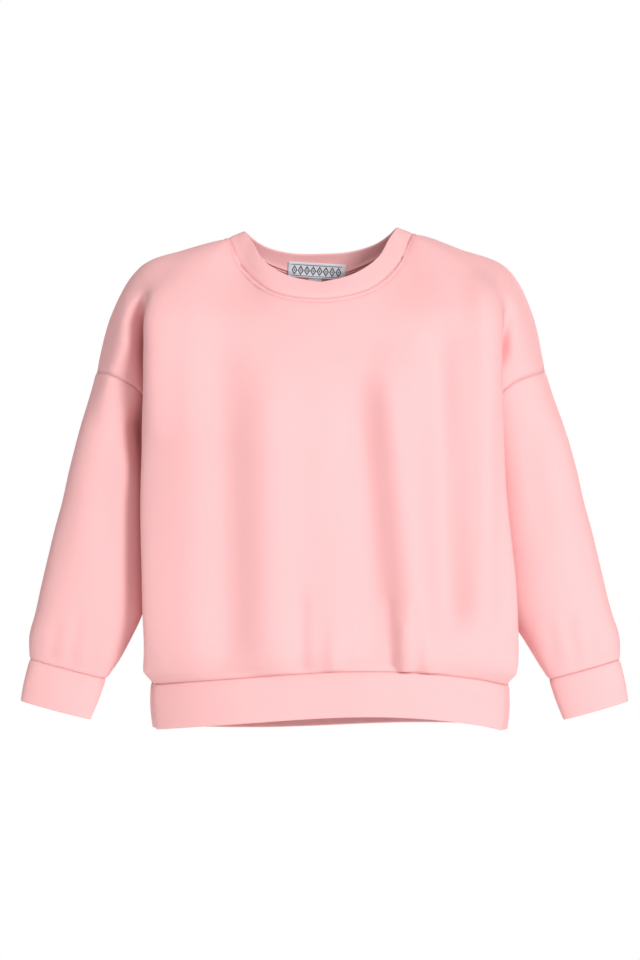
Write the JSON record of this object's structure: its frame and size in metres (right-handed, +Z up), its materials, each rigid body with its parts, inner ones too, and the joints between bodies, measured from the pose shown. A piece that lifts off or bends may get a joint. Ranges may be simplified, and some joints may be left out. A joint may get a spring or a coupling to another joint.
{
  "type": "crew-neck sweatshirt",
  "caption": "Child's pink fleece crew-neck sweatshirt with dropped shoulders, long sleeves, folded neck band, cuffs and hem band, filled out as worn and hollow.",
  "frame": {"origin": "middle of the neck opening, level with the points where the shoulder seams meet the collar and in the plane of the shoulder and side seams, where the wearer's shoulders carry it", "axes": "+X towards the wearer's left arm, across the garment; -Y out of its front; +Z up"},
  "size_m": [0.5924, 0.1814, 0.4931],
  "materials": {
    "fleece": "smooth knitted face of a thick cotton fleece, faint vertical wales, soft matte",
    "band_cloth": "the same knit folded double, smooth and matte",
    "label_weave": "woven satin ribbon, pale grey-blue",
    "tab_weave": "woven satin ribbon, pale grey-blue"
  },
  "bodies": {
    "root": {"front": "fleece", "back": "fleece", "sleeve_left": "fleece", "sleeve_right": "fleece", "collar": "band_cloth", "hem_band": "band_cloth", "cuff_left": "band_cloth", "cuff_right": "band_cloth", "neck_label": "label_weave", "size_tab": "tab_weave"}
  },
  "joints": []
}
